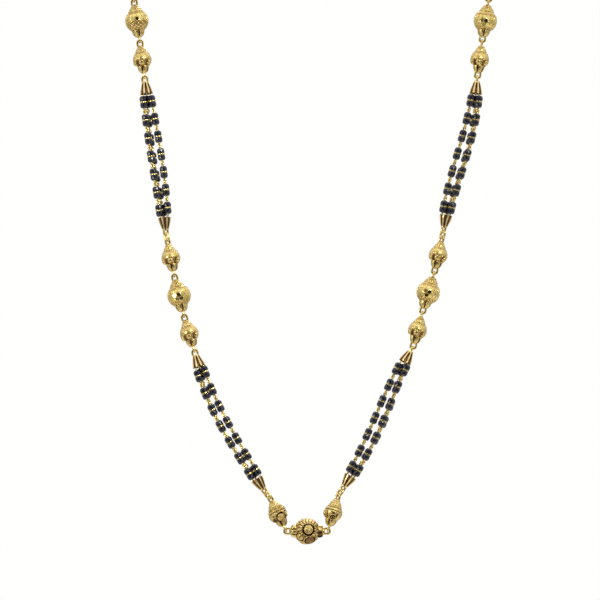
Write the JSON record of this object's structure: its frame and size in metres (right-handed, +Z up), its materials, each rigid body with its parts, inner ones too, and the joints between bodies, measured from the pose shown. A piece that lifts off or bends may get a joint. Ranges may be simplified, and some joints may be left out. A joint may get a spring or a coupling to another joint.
{
  "type": "mangalsutra necklace",
  "caption": "Long necklace of ornamented gold balls joined by three-strand sections of black rondelle beads, with a plain cable chain and barrel clasp behind the neck.",
  "frame": {"origin": "middle of the clasp's barrel at the nape, where the necklace hangs on the back of the neck", "axes": "+Z up, -Y to the front of the wearer, +X to the viewer's right as seen from the front"},
  "size_m": [0.1512, 0.1195, 0.2649],
  "materials": {
    "gold": "gold-plated, polished, darkened in the grooves",
    "black_bead": "faceted opaque black crystal, glossy"
  },
  "bodies": {
    "root": {"ball_centre": "gold", "ball_left_1": "gold", "ball_left_2": "gold", "ball_left_3": "gold", "ball_left_4": "gold", "ball_left_5": "gold", "ball_left_6": "gold", "ball_left_7": "gold", "ball_right_1": "gold", "ball_right_2": "gold", "ball_right_3": "gold", "ball_right_4": "gold", "ball_right_5": "gold", "ball_right_6": "gold", "ball_right_7": "gold", "cone_left_1": "gold", "cone_left_2": "gold", "cone_left_3": "gold", "cone_left_4": "gold", "cone_right_1": "gold", "cone_right_2": "gold", "cone_right_3": "gold", "cone_right_4": "gold", "link_left_1": "gold", "link_left_2": "gold", "link_right_1": "gold", "link_right_2": "gold", "beads_left_low_a": "black_bead", "beads_left_low_b": "black_bead", "beads_left_low_c": "black_bead", "beads_left_up_a": "black_bead", "beads_left_up_b": "black_bead", "beads_left_up_c": "black_bead", "beads_right_low_a": "black_bead", "beads_right_low_b": "black_bead", "beads_right_low_c": "black_bead", "beads_right_up_a": "black_bead", "beads_right_up_b": "black_bead", "beads_right_up_c": "black_bead", "wire_left_low_a": "gold", "wire_left_low_b": "gold", "wire_left_low_c": "gold", "wire_left_up_a": "gold", "wire_left_up_b": "gold", "wire_left_up_c": "gold", "wire_right_low_a": "gold", "wire_right_low_b": "gold", "wire_right_low_c": "gold", "wire_right_up_a": "gold", "wire_right_up_b": "gold", "wire_right_up_c": "gold", "chain_left": "gold", "chain_right": "gold", "clasp": "gold"}
  },
  "joints": []
}
